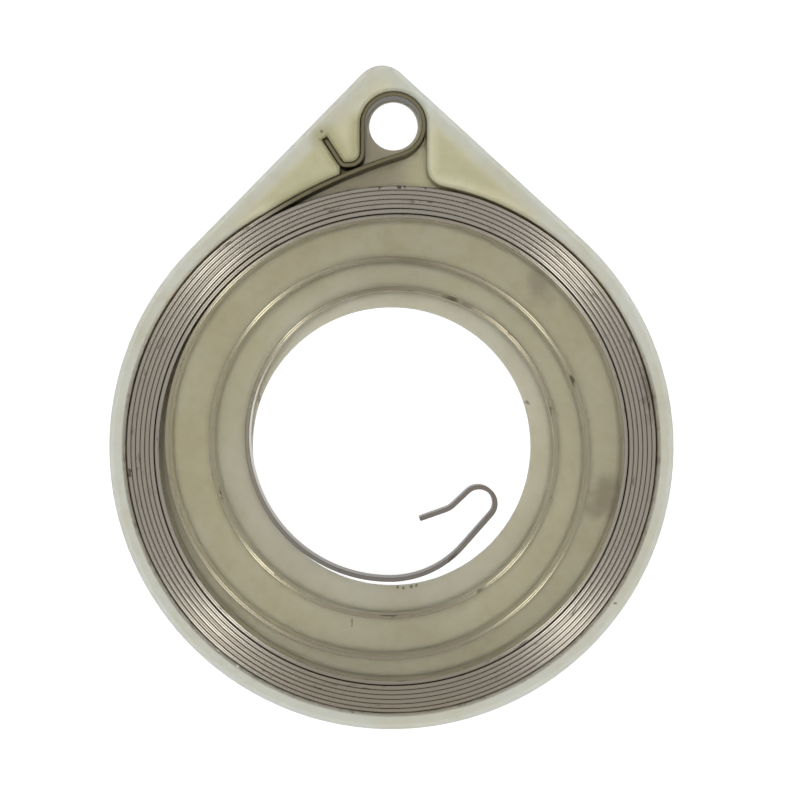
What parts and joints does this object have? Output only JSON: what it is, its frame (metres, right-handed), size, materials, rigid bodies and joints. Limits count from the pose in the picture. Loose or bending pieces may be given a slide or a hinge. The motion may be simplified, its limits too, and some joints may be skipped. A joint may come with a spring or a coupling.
{
  "type": "recoil starter spring",
  "caption": "Spiral steel recoil starter spring with a looped outer hook and a bent inner hook, wound in an open round nylon cassette with a pointed end for the post.",
  "frame": {"origin": "centre of the hub hole on the cassette's flat back face", "axes": "+Z out of the open side of the cassette, +Y towards the pointed end with the post hole"},
  "size_m": [0.0742, 0.0873, 0.0087],
  "materials": {
    "nylon": "natural nylon, satin",
    "spring_steel": "bright rolled"
  },
  "bodies": {
    "root": {"cassette": "nylon", "spring": "spring_steel"}
  },
  "joints": []
}
